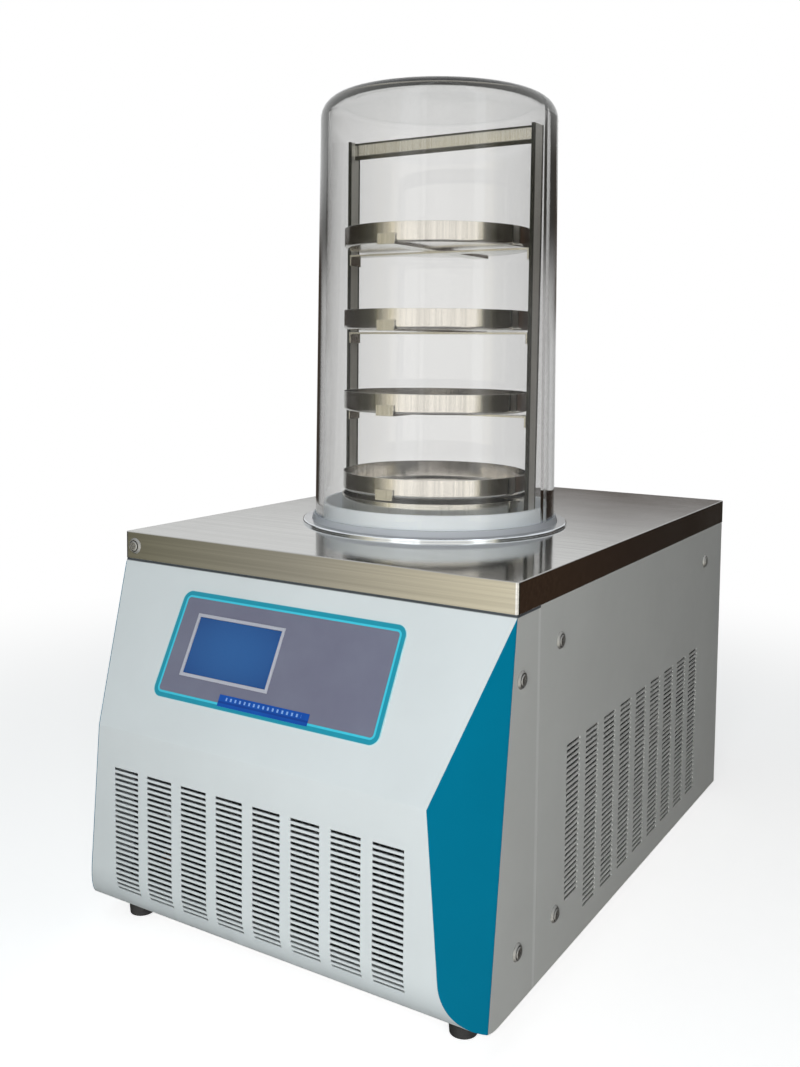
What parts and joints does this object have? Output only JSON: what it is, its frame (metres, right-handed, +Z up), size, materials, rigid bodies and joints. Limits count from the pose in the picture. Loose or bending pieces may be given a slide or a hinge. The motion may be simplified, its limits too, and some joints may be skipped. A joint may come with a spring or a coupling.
{
  "type": "freeze dryer",
  "caption": "Bench-top laboratory freeze dryer: sloped control panel, steel top over a cold trap, and a clear bell holding a rack of drying trays.",
  "frame": {"origin": "on the bench, under the middle of the overall box", "axes": "+Z up, +X to the right of someone facing the display, +Y from the display towards the back"},
  "size_m": [0.444, 0.705, 0.839],
  "materials": {
    "stainless_plate": "brushed",
    "white_paint": "satin powder coat",
    "teal_film": "satin",
    "grey_paint": "satin powder coat",
    "zinc_steel": "zinc plated",
    "black_rubber": "matte",
    "screw_steel": "plated",
    "overlay_film": "satin",
    "bezel_grey": "satin",
    "lcd_glass": "gloss",
    "blue_strip": "satin",
    "board_green": "solder mask",
    "clear_bell": "polished clear acrylic",
    "white_silicone": "translucent",
    "polished_steel": "polished",
    "copper": "drawn",
    "foam": "foamed",
    "fin_aluminium": "mill",
    "black_paint": "semi gloss",
    "black_plastic": "moulded",
    "red_plastic": "moulded",
    "shaft_steel": "ground",
    "brass_fitting": "turned",
    "hose_plastic": "moulded",
    "supply_case": "mill"
  },
  "bodies": {
    "chassis": {"top_plate": "stainless_plate", "front_fascia": "white_paint", "cheek_trim_left": "teal_film", "cheek_trim_right": "teal_film", "side_panel_left": "grey_paint", "side_panel_right": "grey_paint", "back_panel": "grey_paint", "base_pan": "zinc_steel", "upright_front_left": "zinc_steel", "upright_front_right": "zinc_steel", "upright_rear_left": "zinc_steel", "upright_rear_right": "zinc_steel", "rubber_feet": "black_rubber", "foot_screws": "screw_steel", "housing_screws": "screw_steel", "back_panel_screws": "screw_steel", "display_overlay": "overlay_film", "lcd_bezel": "bezel_grey", "lcd_module": "lcd_glass", "label_strip": "blue_strip", "control_board": "board_green", "board_standoffs": "screw_steel", "bell_jar": "clear_bell", "bell_seal": "white_silicone", "flange_ring": "polished_steel", "cold_trap": "polished_steel", "evaporator_coil": "copper", "trap_insulation": "foam", "tray_rack": "polished_steel", "tray_1": "polished_steel", "tray_2": "polished_steel", "tray_3": "polished_steel", "tray_4": "polished_steel", "condenser_core": "fin_aluminium", "fan_shroud": "black_paint", "fan_motor": "black_paint", "fan_bracket": "zinc_steel", "compressor": "black_paint", "compressor_grommets": "black_rubber", "compressor_bolts": "screw_steel", "discharge_pipe": "copper", "liquid_pipe": "copper", "filter_drier": "copper", "capillary_tube": "copper", "suction_pipe": "copper", "vacuum_pipe": "polished_steel", "vacuum_gauge": "black_plastic", "vent_valve": "brass_fitting", "drain_pipe": "hose_plastic", "drain_valve": "brass_fitting", "power_inlet": "black_plastic", "pump_socket": "black_plastic", "switch_housing": "black_plastic", "power_supply": "supply_case", "wiring_loom": "black_plastic"},
    "fan": {"fan_blades": "black_plastic", "fan_shaft": "shaft_steel"},
    "rocker": {"switch_rocker": "red_plastic"},
    "drain_handle": {"drain_lever": "red_plastic"},
    "vent_handle": {"vent_knob": "black_plastic"}
  },
  "joints": [
    {"name": "fan_spin", "type": "hinge", "parent": "chassis", "child": "fan", "pos_m": [0, -0.2042, 0.1295], "axis": [0, 1, 0], "continuous": true},
    {"name": "power_rocker", "type": "hinge", "parent": "chassis", "child": "rocker", "pos_m": [0.165, 0.3155, 0.113], "axis": [1, 0, 0], "range_deg": [-20, 0]},
    {"name": "drain_turn", "type": "hinge", "parent": "chassis", "child": "drain_handle", "pos_m": [0, 0.3305, 0.09], "axis": [0, 0, 1], "range_deg": [0, 90]},
    {"name": "vent_turn", "type": "hinge", "parent": "chassis", "child": "vent_handle", "pos_m": [0.062, 0.3165, 0.329], "axis": [0, 1, 0], "range_deg": [0, 270]}
  ]
}
